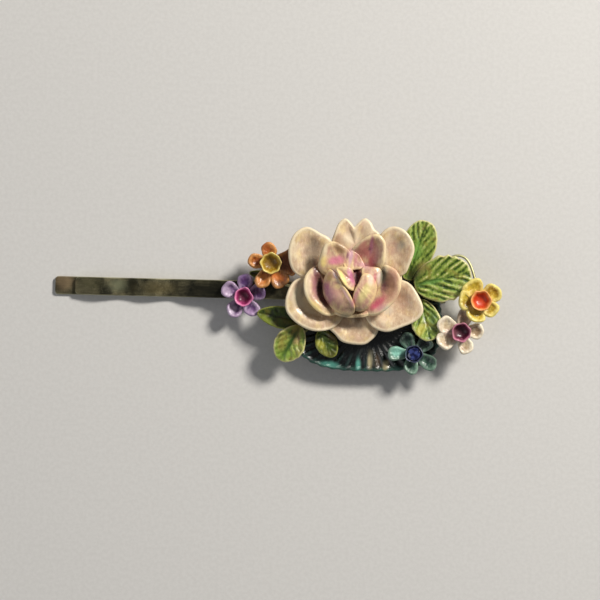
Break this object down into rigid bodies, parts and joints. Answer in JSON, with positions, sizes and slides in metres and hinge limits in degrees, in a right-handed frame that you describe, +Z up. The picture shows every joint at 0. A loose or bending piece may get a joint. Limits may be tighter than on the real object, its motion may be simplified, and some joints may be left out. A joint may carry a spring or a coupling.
{
  "type": "flower hair clip",
  "caption": "Folded spring-strip hair grip carrying a layered enamelled rose with leaves and small five-petal flowers.",
  "frame": {"origin": "middle of the flat underside of the grip's lower leg", "axes": "+X along the grip from its open tips to its bend, +Y across it, +Z up through the flowers"},
  "size_m": [0.0743, 0.0262, 0.0113],
  "materials": {
    "grip_steel": "antiqued olive-brown brass plating over spring steel, satin, blotched",
    "solder_pad": "antiqued brass plating with solder",
    "teal_glaze": "dark teal glossy enamel with worn gold flecks",
    "gilt_pin": "gilt, satin",
    "cream_enamel": "cream enamel, satin gloss, paler at the rims",
    "blush_enamel": "cream to pink enamel, satin gloss",
    "leaf_enamel": "yellow-green enamel, darker in the veins",
    "dark_leaf_enamel": "olive green enamel, darker in the veins",
    "stem_wire": "antiqued brass wire, satin",
    "purple_enamel": "violet enamel with pale rims",
    "magenta_enamel": "magenta enamel, glossy",
    "orange_enamel": "burnt orange enamel, worn",
    "ochre_enamel": "ochre enamel, glossy",
    "yellow_enamel": "golden yellow enamel, worn",
    "amber_enamel": "amber to red-brown enamel, glossy",
    "white_enamel": "off-white enamel with pinkish shadows",
    "maroon_enamel": "maroon enamel, glossy",
    "seafoam_enamel": "pale sea-green enamel",
    "midnight_enamel": "midnight blue enamel with silvery rim",
    "blue_crystal": "faceted dark blue glass stone"
  },
  "bodies": {
    "lower_leg": {"lower_leg": "grip_steel"},
    "upper_leg": {"upper_leg": "grip_steel", "mounting_pad": "solder_pad", "base_plate": "teal_glaze", "rose_post": "gilt_pin", "rose_back_petals": "cream_enamel", "rose_outer_petals": "cream_enamel", "rose_middle_petals": "blush_enamel", "rose_inner_petals": "blush_enamel", "rose_bud": "blush_enamel", "leaf_top_right": "leaf_enamel", "leaf_right": "leaf_enamel", "leaf_low_right": "leaf_enamel", "leaf_left": "dark_leaf_enamel", "leaf_bottom_left": "leaf_enamel", "leaf_bottom": "dark_leaf_enamel", "leaf_small": "dark_leaf_enamel", "sprig_stem_right": "stem_wire", "sprig_stem_left": "stem_wire", "purple_petals": "purple_enamel", "purple_cup": "magenta_enamel", "orange_petals": "orange_enamel", "orange_cup": "ochre_enamel", "yellow_petals": "yellow_enamel", "yellow_cup": "amber_enamel", "white_petals": "white_enamel", "white_cup": "maroon_enamel", "teal_petals": "seafoam_enamel", "teal_cup": "midnight_enamel", "teal_stone": "blue_crystal", "orange_stem": "stem_wire", "yellow_stem": "stem_wire", "white_stem": "stem_wire"}
  },
  "joints": [
    {"name": "clip_open", "type": "hinge", "parent": "lower_leg", "child": "upper_leg", "pos_m": [0.0313, 0, 0.00215], "axis": [0, 1, 0], "range_deg": [0, 10], "stiffness_Nm_per_rad": 0.2, "springref_deg": -8.59}
  ]
}
